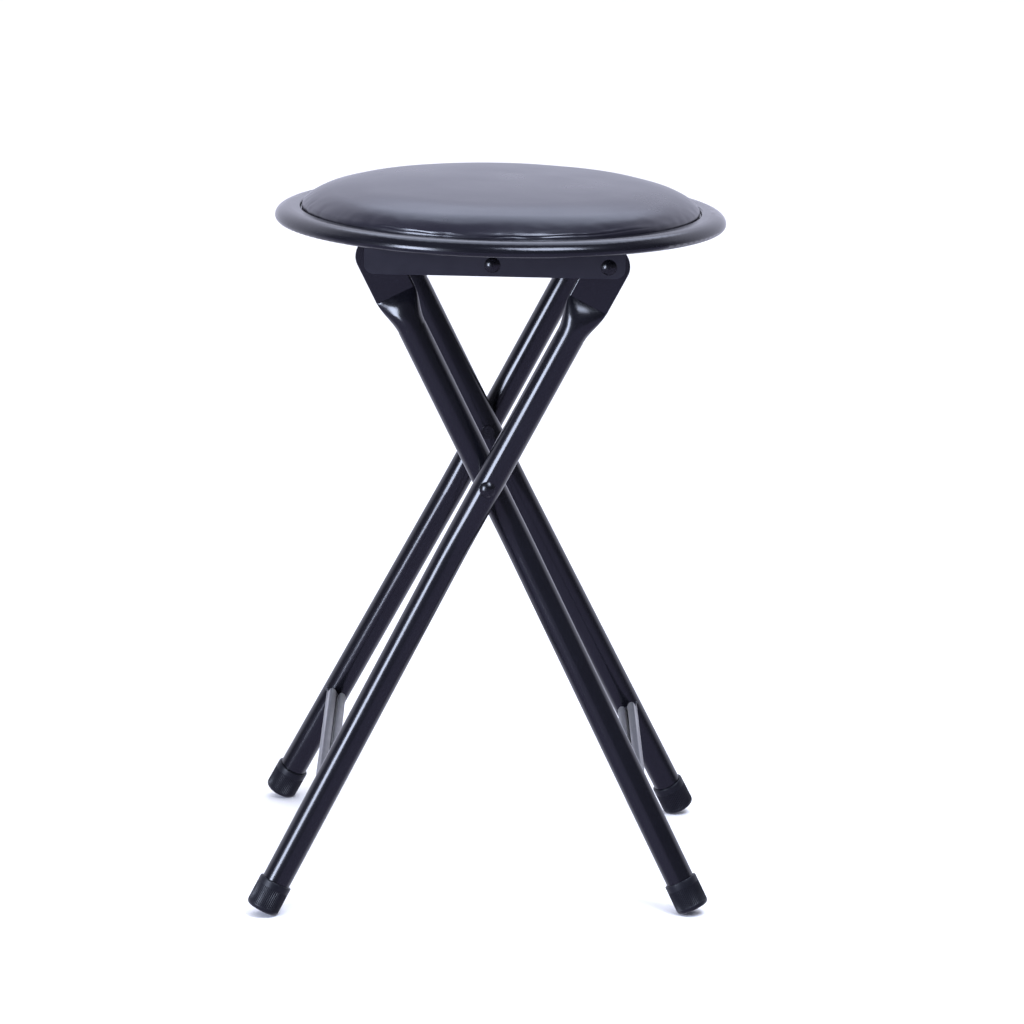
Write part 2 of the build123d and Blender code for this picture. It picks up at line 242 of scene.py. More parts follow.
class FootCapSettings(bpy.types.PropertyGroup):
    """Shape of the ribbed foot caps."""

    radius: millimetres("Radius", "Outside radius of a cap", 11)
    bore: millimetres("Bore", "Radius of the hole for the tube", 9.55)
    length: millimetres("Length", "Length of a cap along the leg", 21)
    floor: millimetres("Floor", "Thickness of the cap's end", 3)
    edge_radius: millimetres("Edge radius", "Rounding of the edge that it stands on", 3)
    lip_radius: millimetres("Lip radius", "Rounding of the mouth", 0.7)
    collar: millimetres("Collar", "Length of the smooth band at the mouth", 4.5)
    rib_count: bpy.props.IntProperty(name="Ribs", description="Fine ribs round a cap", default=56, min=8)
    rib_depth: millimetres("Rib depth", "Depth of the grooves between the ribs", 0.4)


class CrossbarSettings(bpy.types.PropertyGroup):
    """Shape of the pressed crossbars and their welds."""

    height: millimetres("Height", "Height of the crossbars above the floor", 82)
    width: millimetres("Width", "Width of the strip", 13.5)
    sheet: millimetres("Sheet", "Thickness of the strip", 1.2)
    depth: millimetres("Depth", "Depth over the ribs", 4.8)
    rib_width: millimetres("Rib width", "Width of a rib at its foot", 5.8)
    rib_taper: millimetres("Rib taper", "How much each side of a rib draws in", 0.35)
    rib_tip: millimetres("Rib tip", "Length of a rib's rounded end", 8)
    rib_stop: millimetres("Rib stop", "Plain strip between a rib's end and the leg", 2)
    bead: millimetres("Bead", "Radius of a weld bead's lumps", 1.7)


class FinishSettings(bpy.types.PropertyGroup):
    """Colours of the finishes."""

    enamel: colour("Enamel", "Black stoving enamel", "#0a0a0f")
    enamel_thin: colour("Thin enamel", "Enamel where it has run thin", "#101016")
    powder: colour("Powder coat", "Satin black powder coat", "#14131b")
    powder_thick: colour("Thick powder coat", "Powder coat where it lies thick", "#1b1a24")
    vinyl: colour("Vinyl", "Black vinyl", "#13121a")
    vinyl_worn: colour("Rubbed vinyl", "Vinyl where it is rubbed pale", "#1b1a23")
    cap_plastic: colour("Cap plastic", "Moulded foot caps", "#0d0e13")
    cap_scuffed: colour("Scuffed plastic", "Foot caps where they are scuffed", "#14151c")
    rivet: colour("Rivet", "Blackened steel", "#07070a")
    rivet_rubbed: colour("Rubbed rivet", "Blackened steel where the head is rubbed", "#0c0c11")
    zinc: colour("Zinc", "Zinc plate", "#b4b4ae")
    zinc_dull: colour("Dull zinc", "Zinc plate that has clouded over", "#98989a")
    plywood: colour("Plywood", "Pale wood", "#c8a878")
    plywood_grain: colour("Plywood grain", "Dark grain", "#9a7648")
    floor: colour("Floor", "Studio floor", "#f4f4f6")
    floor_worn: colour("Worn floor", "Studio floor where it has been walked on", "#eeeef1")


class StageSettings(bpy.types.PropertyGroup):
    """Camera, floor and studio lights."""

    camera_place: bpy.props.FloatVectorProperty(
        name="Camera place", description="Where the camera stands", size=3, subtype="TRANSLATION",
        unit="LENGTH", default=(-12.64 * MM, -3150.68 * MM, 928.47 * MM),
    )
    camera_yaw: degrees("Yaw", "Turn to the right", 0.546)
    camera_pitch: degrees("Pitch", "Tilt downwards", 12.294)
    camera_roll: degrees("Roll", "Lean to the left", 1.341)
    lens: bpy.props.FloatProperty(
        name="Lens", description="Focal length on a 36 mm sensor", default=168.18, subtype="DISTANCE_CAMERA"
    )
    floor_size: bpy.props.FloatProperty(
        name="Floor", description="Side of the floor", default=24.0, unit="LENGTH"
    )
    daylight: amount("Overhead", "Even light on the floor", 2.7)
    daylight_angle: degrees("Overhead width", "How much of the sky the even light fills", 100)
    room_light: amount("Room", "Strength of the room's glow", 1.2)
    backdrop: colour("Backdrop", "Paper behind the stool, as the camera sees it", "#f4f4f8")
    back_wall: colour("Back wall", "Glow of the room behind", "#e7e9ff")
    front_floor: colour("Front floor", "Glow that the floor in front gives shiny paint", "#928eb4")
    front_room: colour("Front room", "Dark room above the camera", "#50505c")
    lamp: colour("Lamps", "Cool white of the soft lights", "#dce6ff")
    ceiling_power: watts("Ceiling light", "Wide light above and behind", 16.0)
    strip_power: watts("Strip light", "Tall light at the left front", 100.0)
    softbox_power: watts("Softbox", "Square light above, at the right front", 58.0)


SETTINGS = {
    "stool_cushion": CushionSettings,
    "stool_foot_caps": FootCapSettings,
    "stool_crossbars": CrossbarSettings,
    "stool_finish": FinishSettings,
    "stool_stage": StageSettings,
}


# Shapes

def deselect():
    """Leaves object mode with nothing selected."""
    if bpy.context.mode != "OBJECT":
        bpy.ops.object.mode_set(mode="OBJECT")
    bpy.ops.object.select_all(action="DESELECT")


def new_piece(add, name, **settings):
    """Adds one primitive with nothing else selected and names it."""
    deselect()
    add(**settings)
    piece = bpy.context.object
    piece.name = name
    piece.data.name = name
    return piece


def only(piece):
    """Selects one piece and makes it active."""
    deselect()
    piece.select_set(True)
    bpy.context.view_layer.objects.active = piece


def pick(piece, domain, test):
    """In edit mode, selects the verts, edges or faces that pass a test."""
    bpy.ops.mesh.select_mode(type={"verts": "VERT", "edges": "EDGE", "faces": "FACE"}[domain])
    bpy.ops.mesh.select_all(action="DESELECT")
    shape = bmesh.from_edit_mesh(piece.data)
    for element in getattr(shape, domain):
        if test(element):
            element.select_set(True)
    bmesh.update_edit_mesh(piece.data)


def tidy_normals():
    """In edit mode, merges doubles and turns every face outwards."""
    bpy.ops.mesh.select_all(action="SELECT")
    bpy.ops.mesh.remove_doubles(threshold=SAME_PLACE)
    bpy.ops.mesh.normals_make_consistent(inside=False)


def apply_modifier(piece, name, kind, **settings):
    """Adds a modifier with its settings and applies it."""
    modifier = piece.modifiers.new(name, kind)
    for key, value in settings.items():
        setattr(modifier, key, value)
    only(piece)
    bpy.ops.object.modifier_apply(modifier=modifier.name)


def combine(piece, name, operation, other):
    """Joins another shape to a piece, or cuts it out of it, and takes the other shape away."""
    apply_modifier(piece, name, "BOOLEAN", operation=operation, object=other, solver="EXACT")
    bpy.data.objects.remove(other)


def settle(piece, place):
    """Moves a piece to its place and leaves that place in its mesh."""
    only(piece)
    piece.matrix_world = place
    bpy.ops.object.transform_apply(location=True, rotation=True, scale=True)


def smooth(piece, angle):
    """Smooth shading, with edges sharper than an angle in degrees kept."""
    only(piece)
    bpy.ops.object.shade_smooth_by_angle(angle=math.radians(angle))


def dress(piece, body, material):
    """Rides a finished piece on its body and gives it its finish."""
    piece.data.materials.clear()
    piece.data.materials.append(material)
    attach(piece, body)


def between(limits, share):
    """The value at a share of the way from one limit to the other."""
    low, high = limits
    return low + (high - low) * share


def arc(centre_x, centre_z, radius, start, end, steps):
    """Points along an arc from one angle to another, both included."""
    angles = [start + (end - start) * step / steps for step in range(steps + 1)]
    return [(centre_x + radius * math.cos(a), centre_z + radius * math.sin(a)) for a in angles]


def turned(name, profile, segments):
    """A closed turned form about Z: a disc extruded ring by ring along radius and height pairs."""
    radius, height = profile[0]
    piece = new_piece(
        bpy.ops.mesh.primitive_circle_add, name,
        vertices=segments, radius=radius, fill_type="NGON", location=(0, 0, height),
    )
    bpy.ops.object.transform_apply(location=True)
    bpy.ops.object.mode_set(mode="EDIT")
    bpy.ops.mesh.select_all(action="SELECT")
    for next_radius, next_height in profile[1:]:
        rise = (0, 0, next_height - height)
        bpy.ops.mesh.extrude_region_move(TRANSFORM_OT_translate={"value": rise})
        scale = next_radius / radius
        bpy.ops.transform.resize(value=(scale, scale, 1), center_override=(0, 0, next_height))
        radius, height = next_radius, next_height
    tidy_normals()
    bpy.ops.object.mode_set(mode="OBJECT")
    return piece


# Where things stand

def leg_point(lean_side, side, plane, reach):
    """A point on a leg's centre line, at a reach down the leg from the crossing."""
    out = plane + max(reach - BEND_DROP, 0) * math.tan(LEG_SPLAY)
    across = -lean_side * math.sin(LEG_LEAN) * reach
    return Vector((across, side * out, LEG_CROSSING.z - math.cos(LEG_LEAN) * reach))


def lower_leg(name, side):
    """The end of a lower leg's line on the cap's sole, and the way up that line."""
    caps = bpy.context.scene.stool_foot_caps
    _, lean_side, plane, _ = LEG_FRAMES[name]
    tilt = math.acos(math.cos(LEG_LEAN) * math.cos(LEG_SPLAY))
    sole = caps.radius - caps.edge_radius
    drop = sole * math.sin(tilt) + caps.edge_radius * (1 - math.cos(tilt))
    reach = (LEG_CROSSING.z - drop + FOOT_LAND) / math.cos(LEG_LEAN)
    foot = leg_point(lean_side, side, plane, reach)
    knee = leg_point(lean_side, side, plane, BEND_DROP)
    return foot, (knee - foot).normalized()


def along(place, direction):
    """Turns Z along a direction and moves the origin to a place."""
    return Matrix.Translation(place) @ direction.to_track_quat("Z", "Y").to_matrix().to_4x4()


# Finishes

def linear(hex_value):
    """An sRGB hex value as a linear colour with alpha."""
    channels = [int(hex_value[i:i + 2], 16) / 255 for i in (1, 3, 5)]
    return (*[c / 12.92 if c <= 0.04045 else ((c + 0.055) / 1.055) ** 2.4 for c in channels], 1.0)


def per_metre(size_mm):
    """A texture scale whose features are about this size."""
    return 1 / (size_mm * MM)


def add_node(tree, kind, inputs=None, **settings):
    """Adds a node with its settings; an input is a value, or an output socket to link from."""
    node = tree.nodes.new(kind)
    for key, value in settings.items():
        setattr(node, key, value)
    for key, value in (inputs or {}).items():
        if isinstance(value, bpy.types.NodeSocket):
            tree.links.new(value, node.inputs[key])
        else:
            node.inputs[key].default_value = value
    return node


def new_material(name):
    """An empty material, its node tree and Object coordinates."""
    material = bpy.data.materials.new(name)
    material.use_nodes = True
    tree = material.node_tree
    tree.nodes.clear()
    place = add_node(tree, "ShaderNodeTexCoord").outputs["Object"]
    return material, tree, place


def patches(tree, place, size_mm, detail):
    """Soft uneven patches of about this size."""
    inputs = {"Vector": place, "Scale": per_metre(size_mm), "Detail": detail}
    return add_node(tree, "ShaderNodeTexNoise", inputs).outputs["Fac"]


def mix(tree, share, first, second):
    """A colour between two linear colours or sockets."""
    inputs = {"Factor": share, "A": first, "B": second}
    return add_node(tree, "ShaderNodeMix", inputs, data_type="RGBA").outputs["Result"]


def tone(tree, share, first, second):
    """A colour between two sRGB hex values."""
    return mix(tree, share, linear(first), linear(second))


def roughness(tree, pattern, low, high):
    """A roughness that runs from low to high over the range of a noise."""
    inputs = {
        "Value": pattern, "From Min": NOISE_LOW, "From Max": NOISE_HIGH, "To Min": low, "To Max": high,
    }
    return add_node(tree, "ShaderNodeMapRange", inputs).outputs["Result"]


def relief(tree, pattern, strength, depth_mm):
    """A normal that follows the height of a pattern."""
    inputs = {"Strength": strength, "Distance": depth_mm * MM, "Height": pattern}
    return add_node(tree, "ShaderNodeBump", inputs).outputs["Normal"]


def coat(material, tree, inputs):
    """Wires a shader with these inputs to the material's output."""
    shader = add_node(tree, "ShaderNodeBsdfPrincipled", inputs)
    add_node(tree, "ShaderNodeOutputMaterial", {"Surface": shader.outputs["BSDF"]})
    return material


def stoved_enamel():
    """Gloss black stoving enamel on steel: a hard shine with faint orange peel, paler where it is thin."""
    finish = bpy.context.scene.stool_finish
    material, tree, place = new_material("stoved_black_enamel")
    film = patches(tree, place, size_mm=45, detail=3.0)
    # Real peel is about 2 mm across; here it is coarser, so that it doesn't flicker from this distance
    peel = patches(tree, place, size_mm=4, detail=0.0)
    inputs = {
        "Base Color": tone(tree, film, finish.enamel, finish.enamel_thin),
        "Roughness": roughness(tree, film, low=0.17, high=0.23),
        "Normal": relief(tree, peel, strength=0.025, depth_mm=0.012),
        "IOR": 1.52,
    }
    return coat(material, tree, inputs)


def satin_powder_coat():
    """Satin black powder coat on pressed strip: a soft even sheen with a fine pebbled skin."""
    finish = bpy.context.scene.stool_finish
    material, tree, place = new_material("satin_black_powder_coat")
    film = patches(tree, place, size_mm=12, detail=4.0)
    pebble = patches(tree, place, size_mm=0.9, detail=2.0)
    inputs = {
        "Base Color": tone(tree, film, finish.powder, finish.powder_thick),
        "Roughness": roughness(tree, film, low=0.36, high=0.44),
        "Normal": relief(tree, pebble, strength=0.15, depth_mm=0.02),
        "IOR": 1.5,
        "Sheen Weight": 0.45,
        "Sheen Roughness": 0.3,
    }
    return coat(material, tree, inputs)


def calendered_vinyl():
    """Black calendered vinyl: a soft sheen over a fine pressed grain, with patches that are rubbed pale."""
    finish = bpy.context.scene.stool_finish
    material, tree, place = new_material("calendered_black_vinyl")
    grain = add_node(
        tree, "ShaderNodeTexVoronoi", {"Vector": place, "Scale": per_metre(1.3)}, feature="DISTANCE_TO_EDGE"
    )
    pore_inputs = {"Value": grain.outputs["Distance"], "From Min": 0.0, "From Max": 0.25}
    pore = add_node(tree, "ShaderNodeMapRange", pore_inputs).outputs["Result"]
    rub = patches(tree, place, size_mm=60, detail=4.0)
    inputs = {
        "Base Color": tone(tree, rub, finish.vinyl, finish.vinyl_worn),
        "Roughness": roughness(tree, rub, low=0.26, high=0.32),
        "Normal": relief(tree, pore, strength=0.15, depth_mm=0.03),
        "IOR": 1.58,
    }
    return coat(material, tree, inputs)


def moulded_plastic():
    """Black polyethylene moulded in a spark-eroded tool: matte, with a fine even texture and scuffs."""
    finish = bpy.context.scene.stool_finish
    material, tree, place = new_material("moulded_black_polyethylene")
    scuff = patches(tree, place, size_mm=7, detail=5.0)
    # The tool's texture is about 0.1 mm on a real cap; here it is coarser, to be seen at all
    texture = patches(tree, place, size_mm=0.5, detail=2.0)
    inputs = {
        "Base Color": tone(tree, scuff, finish.cap_plastic, finish.cap_scuffed),
        "Roughness": roughness(tree, scuff, low=0.34, high=0.46),
        "Normal": relief(tree, texture, strength=0.4, depth_mm=0.03),
        "IOR": 1.51,
        "Specular IOR Level": 0.3,
    }
    return coat(material, tree, inputs)


def blackened_steel():
    """Rivet steel blackened in oil after heading: a dull shine with faint hammer marks."""
    finish = bpy.context.scene.stool_finish
    material, tree, place = new_material("oil_blackened_steel")
    marks = patches(tree, place, size_mm=2.2, detail=3.0)
    inputs = {
        "Base Color": tone(tree, marks, finish.rivet, finish.rivet_rubbed),
        "Roughness": roughness(tree, marks, low=0.2, high=0.3),
        "Normal": relief(tree, marks, strength=0.2, depth_mm=0.03),
        "IOR": 1.52,
    }
    return coat(material, tree, inputs)


def zinc_plate():
    """Bright zinc plate on screws and staples: a grey metal with a cloudy shine."""
    finish = bpy.context.scene.stool_finish
    material, tree, place = new_material("zinc_plated_steel")
    cloud = patches(tree, place, size_mm=1.5, detail=3.0)
    inputs = {
        "Base Color": tone(tree, cloud, finish.zinc, finish.zinc_dull),
        "Metallic": 1.0,
        "Roughness": roughness(tree, cloud, low=0.25, high=0.45),
    }
    return coat(material, tree, inputs)


def rotary_cut_plywood():
    """Raw rotary-cut plywood: long pale grain, dry and rough."""
    finish = bpy.context.scene.stool_finish
    material, tree, place = new_material("rotary_cut_plywood")
    stretch = add_node(tree, "ShaderNodeMapping", {"Vector": place, "Scale": (0.12, 1.0, 1.0)})
    grain_inputs = {
        "Vector": stretch.outputs["Vector"], "Scale": per_metre(4), "Detail": 6.0, "Distortion": 0.6,
    }
    grain = add_node(tree, "ShaderNodeTexNoise", grain_inputs).outputs["Fac"]
    inputs = {
        "Base Color": tone(tree, grain, finish.plywood, finish.plywood_grain),
        "Roughness": 0.75,
        "Normal": relief(tree, grain, strength=0.4, depth_mm=0.1),
    }
    return coat(material, tree, inputs)


def studio_floor():
    """Matte painted studio floor: pale and dull, a little greyer where it has been walked on."""
    finish = bpy.context.scene.stool_finish
    material, tree, place = new_material("matte_studio_floor")
    wear = patches(tree, place, size_mm=400, detail=4.0)
    inputs = {
        "Base Color": tone(tree, wear, finish.floor, finish.floor_worn),
        "Roughness": 0.9,
        "Specular IOR Level": 0.1,
    }
    return coat(material, tree, inputs)


# Operators

class STOOL_OT_finishes(bpy.types.Operator):
    """Give the solids that stay in view their finishes"""

    bl_idname = "stool.finishes"
    bl_label = "Finishes"

    def execute(self, context):
        finishes = {
            ENAMELLED: stoved_enamel(),
            POWDER_COATED: satin_powder_coat(),
            BLACKENED: blackened_steel(),
            ZINC_PLATED: zinc_plate(),
            PLYWOOD: rotary_cut_plywood(),
        }
        for names, material in finishes.items():
            for name in names:
                for slot in frame["nodes"][name].material_slots:
                    slot.material = material
        return {"FINISHED"}


class STOOL_OT_cushion(bpy.types.Operator):
    """Fill the vinyl cushion and gather its edge"""

    bl_idname = "stool.cushion"
    bl_label = "Cushion"

    def execute(self, context):
        settings = context.scene.stool_cushion
        low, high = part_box("seat_cover")
        middle = (low + high) / 2
        radius = (high.x - low.x) / 2
        cushion = turned("seat_cushion", self.profile(settings, radius), CUSHION_SEGMENTS)
        self.fill(cushion, settings)
        self.fit(cushion, radius, high.z - low.z)
        self.gather(cushion, settings, radius)
        settle(cushion, Matrix.Translation((middle.x, middle.y, low.z)))
        smooth(cushion, angle=80)
        dress(cushion, "seat", calendered_vinyl())
        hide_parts("seat_cover", "foam_pad")
        return {"FINISHED"}

    def profile(self, settings, radius):
        """Half section of the slack cushion, from the middle of its flat back to its crown."""
        turn = math.pi / 2 - settings.shoulder_angle
        edge = settings.edge_radius
        shoulder = settings.shoulder_radius
        edge_x = radius - edge
        shoulder_x = edge_x - (shoulder - edge) * math.cos(turn)
        shoulder_z = settings.edge_rise - (shoulder - edge) * math.sin(turn)
        fall = math.pi / 2 - settings.haunch_angle
        haunch = settings.haunch_radius
        haunch_x = shoulder_x - (haunch - shoulder) * math.cos(fall)
        haunch_z = shoulder_z - (haunch - shoulder) * math.sin(fall)
        crown = math.acos(haunch_x / (settings.crown_radius - haunch))
        crown_z = haunch_z - (settings.crown_radius - haunch) * math.sin(crown)
        top = math.pi / 2 - CROWN_EYE
        slack = settings.slack
        tuck = math.asin((settings.edge_rise - slack) / (edge - slack))
        back = edge_x + (edge - slack) * math.cos(tuck)
        points = [(back * share, slack) for share in BACK_SHARES]
        points += arc(edge_x, settings.edge_rise, edge - slack, -tuck, turn, steps=36)
        points += arc(shoulder_x, shoulder_z, shoulder - slack, turn, fall, steps=22)[1:]
        points += arc(haunch_x, haunch_z, haunch - slack, fall, crown, steps=14)[1:]
        points += arc(0, crown_z, settings.crown_radius - slack, crown, top, steps=18)[1:]
        return points

    def fill(self, cushion, settings):
        """Blows up an even copy of the cover, held at its back, and moves the cushion as it moved."""
        only(cushion)
        bpy.ops.object.duplicate()
        bag = bpy.context.object
        bag.data.remesh_voxel_size = settings.voxel
        bpy.ops.object.voxel_remesh()
        rest = [vertex.co.copy() for vertex in bag.data.vertices]
        held = bag.vertex_groups.new(name="stapled_back")
        held.add([i for i, point in enumerate(rest) if point.z < settings.edge_rise], 1.0, "REPLACE")
        cloth = bag.modifiers.new("vinyl", "CLOTH")
        cloth.settings.vertex_group_mass = held.name
        cloth.settings.tension_stiffness = settings.stiffness
        cloth.settings.compression_stiffness = settings.stiffness
        cloth.settings.use_pressure = True
        cloth.settings.uniform_pressure_force = settings.pressure
        cloth.settings.effector_weights.gravity = 0.0
        for step in range(1, FILL_FRAMES + 1):
            bpy.context.scene.frame_set(step)
        only(bag)
        bpy.ops.object.modifier_apply(modifier=cloth.name)
        bpy.context.scene.frame_set(1)
        tree = kdtree.KDTree(len(rest))
        for i, point in enumerate(rest):
            tree.insert(point, i)
        tree.balance()
        moves = [vertex.co - start for vertex, start in zip(bag.data.vertices, rest)]
        moves = [move * min(1.0, settings.swell / max(move.length, MM)) for move in moves]
        for vertex in cushion.data.vertices:
            found = tree.find_n(vertex.co, CARRIERS)
            near = [(moves[i], math.exp(-(gap / settings.spread) ** 2)) for _, i, gap in found]
            share = sum(weight for _, weight in near)
            vertex.co += sum((move * weight for move, weight in near), Vector()) / share
        bpy.data.objects.remove(bag)

    def fit(self, cushion, radius, height):
        """Scales the filled cushion to the width and height that the solid has."""
        points = [vertex.co for vertex in cushion.data.vertices]
        low = min(point.z for point in points)
        tall = max(point.z for point in points) - low
        wide = max(math.hypot(point.x, point.y) for point in points)
        spread = radius / wide
        shift = Matrix.Diagonal((spread, spread, height / tall, 1)) @ Matrix.Translation((0, 0, -low))
        cushion.data.transform(shift)

    def puckers(self, settings):
        """Angle, depth, width and reach of each gather round the edge."""
        gathers = []
        for k in range(settings.pucker_count):
            spin = noise.cell(Vector((k, 0.5, 0.5)))
            place = (k + PUCKER_STRAY * (spin - 0.5)) * 2 * math.pi / settings.pucker_count
            size = between(PUCKER_SHARES, noise.cell(Vector((k, 7.5, 0.5))) ** 2)
            width = between(PUCKER_WIDTHS, noise.cell(Vector((k, 3.5, 2.5))))
            gathers.append((place, size * settings.pucker_depth, width, between(PUCKER_REACHES, size)))
        return gathers

    def gather(self, cushion, settings, radius):
        """Gathers the vinyl into puckers and folds where it turns in under the board."""
        puckers = self.puckers(settings)
        cushion.data.update()
        normals = [vertex.normal.copy() for vertex in cushion.data.vertices]
        for vertex, normal in zip(cushion.data.vertices, normals):
            out = math.hypot(vertex.co.x, vertex.co.y)
            inward = radius - out
            if inward > GATHER_BAND or vertex.co.z < GATHER_BACK:
                continue
            angle = math.atan2(vertex.co.y, vertex.co.x)
            depth = self.crease(settings, angle, vertex.co.z)
            for place, size, width, reach in puckers:
                turn = (angle - place + math.pi) % (2 * math.pi) - math.pi
                across = turn * out / width
                if abs(across) < PUCKER_LIMIT:
                    depth += size * math.exp(-across * across - (inward / reach) ** 2)
            swirl = Vector((vertex.co.x, vertex.co.y, WRINKLE_FLATNESS * vertex.co.z)) / WRINKLE_SIZE
            wrinkle = noise.noise(swirl) * math.exp(-(inward / WRINKLE_REACH) ** 2)
            vertex.co += normal * (settings.wrinkle_depth * wrinkle - depth)

    def crease(self, settings, angle, height):
        """Depth of the long folds near the edge, with a low welt above each."""
        depth = 0.0
        for start, end, start_height, end_height in CREASES:
            share = (angle - start) / (end - start)
            if not 0 < share < 1:
                continue
            fade = math.sin(math.pi * share) ** FOLD_FADE
            waver = FOLD_WAVER * math.sin(FOLD_WAVES * share + FOLD_PHASE * start)
            line = start_height + (end_height - start_height) * share + waver
            across = (height - line) / settings.crease_width
            depth += settings.crease_depth * fade * math.exp(-across * across)
            depth -= WELT_SHARE * settings.crease_depth * fade * math.exp(-(across - WELT_RISE) ** 2)
        return depth


class STOOL_OT_foot_caps(bpy.types.Operator):
    """Model one ribbed foot cap and put a copy on each leg"""

    bl_idname = "stool.foot_caps"
    bl_label = "Foot caps"

    def execute(self, context):
        settings = context.scene.stool_foot_caps
        pattern = turned("foot_cap_pattern", self.profile(settings), STEPS_PER_RIB * settings.rib_count)
        self.cut_ribs(pattern, settings)
        plastic = moulded_plastic()
        for name, (body, _, _, nodes) in LEG_FRAMES.items():
            for side, node in zip((FRONT, REAR), nodes):
                cap = pattern.copy()
                cap.data = pattern.data.copy()
                cap.name = cap.data.name = "ribbed_" + node
                context.collection.objects.link(cap)
                foot, up = lower_leg(name, side)
                settle(cap, along(foot, up))
                self.stand(cap)
                smooth(cap, angle=35)
                dress(cap, body, plastic)
                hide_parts(node)
        bpy.data.objects.remove(pattern)
        return {"FINISHED"}

    def profile(self, settings):
        """Half section of a cap: sole, rounded edge, wall, lip, bore and the floor inside."""
        edge, lip = settings.edge_radius, settings.lip_radius
        wall, top = settings.radius, settings.length
        bore, floor = settings.bore, settings.floor
        rib_top = top - settings.collar
        points = [(INNER_RING * (wall - edge), 0.0)]
        points += arc(wall - edge, edge, edge, -math.pi / 2, 0, steps=6)
        points += [(wall, edge + GROOVE_RUNOUT), (wall, rib_top - GROOVE_RUNOUT), (wall, rib_top)]
        points += arc(wall - lip, top - lip, lip, 0, math.pi / 2, steps=4)
        points += [(bore, top), (bore, floor), (INNER_RING * bore, floor)]
        return points

    def cut_ribs(self, cap, settings):
        """Draws every other pair of wall edges in, to leave fine ribs below the smooth collar."""
        low = settings.edge_radius
        high = settings.length - settings.collar - GROOVE_RUNOUT / 2
        inside_wall = (settings.radius + settings.bore) / 2
        step = 2 * math.pi / (STEPS_PER_RIB * settings.rib_count)

        def in_groove(vertex):
            out = math.hypot(vertex.co.x, vertex.co.y)
            turn = round(math.atan2(vertex.co.y, vertex.co.x) / step)
            return low < vertex.co.z < high and out > inside_wall and turn % STEPS_PER_RIB < GROOVE_STEPS

        only(cap)
        bpy.ops.object.mode_set(mode="EDIT")
        pick(cap, "verts", in_groove)
        scale = 1 - settings.rib_depth / settings.radius
        bpy.ops.transform.resize(value=(scale, scale, 1), center_override=(0, 0, 0))
        bpy.ops.object.mode_set(mode="OBJECT")

    def stand(self, cap):
        """Cuts the small flat that the cap stands on."""
        only(cap)
        bpy.ops.object.mode_set(mode="EDIT")
        bpy.ops.mesh.select_all(action="SELECT")
        # A fine threshold, so that no point stays under the floor
        bpy.ops.mesh.bisect(
            plane_co=(0, 0, 0), plane_no=(0, 0, 1), use_fill=True, clear_inner=True, threshold=0.001 * MM
        )
        tidy_normals()
        bpy.ops.object.mode_set(mode="OBJECT")


